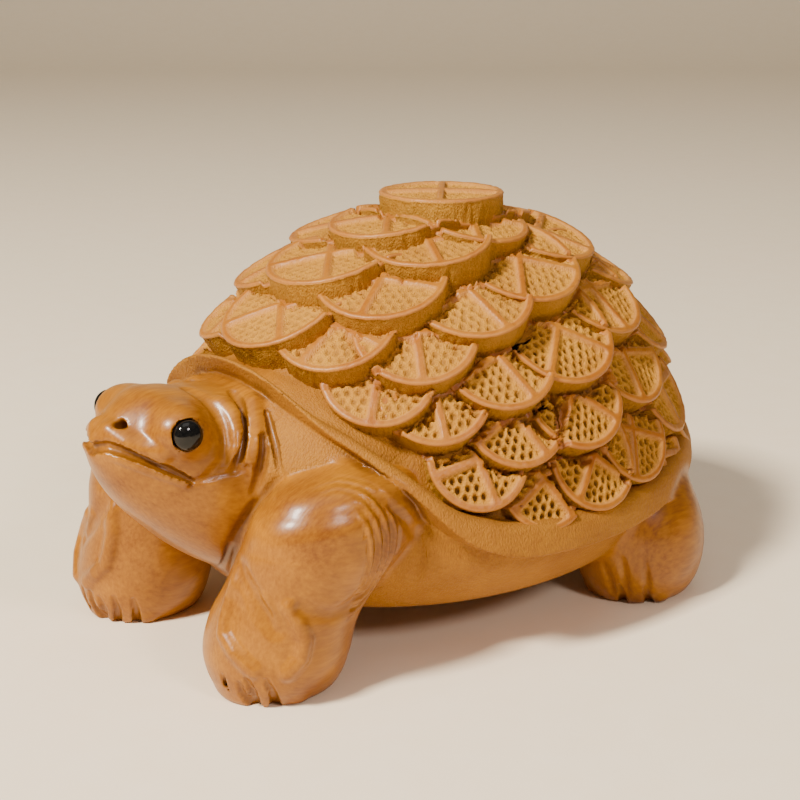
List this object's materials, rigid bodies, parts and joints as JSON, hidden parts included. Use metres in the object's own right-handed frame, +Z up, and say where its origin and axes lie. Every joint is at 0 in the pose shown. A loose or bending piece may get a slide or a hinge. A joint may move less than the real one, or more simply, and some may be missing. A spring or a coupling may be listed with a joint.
{
  "type": "turtle figurine",
  "caption": "Standing turtle figurine carved in wood, with a domed shell of overlapping round scales, raised head, bowed legs and inlaid bead eyes.",
  "frame": {"origin": "on the floor under the middle of the overall length and width", "axes": "+Z up, the nose points towards -Y, the turtle's left is +X"},
  "size_m": [0.0694, 0.103, 0.058],
  "materials": {
    "boxwood": "hand-carved boxwood, oiled and polished on the head and legs",
    "black_bead": "opaque black glass, glossy"
  },
  "bodies": {
    "root": {"carved_turtle": "boxwood", "left_eye": "black_bead", "right_eye": "black_bead"}
  },
  "joints": []
}
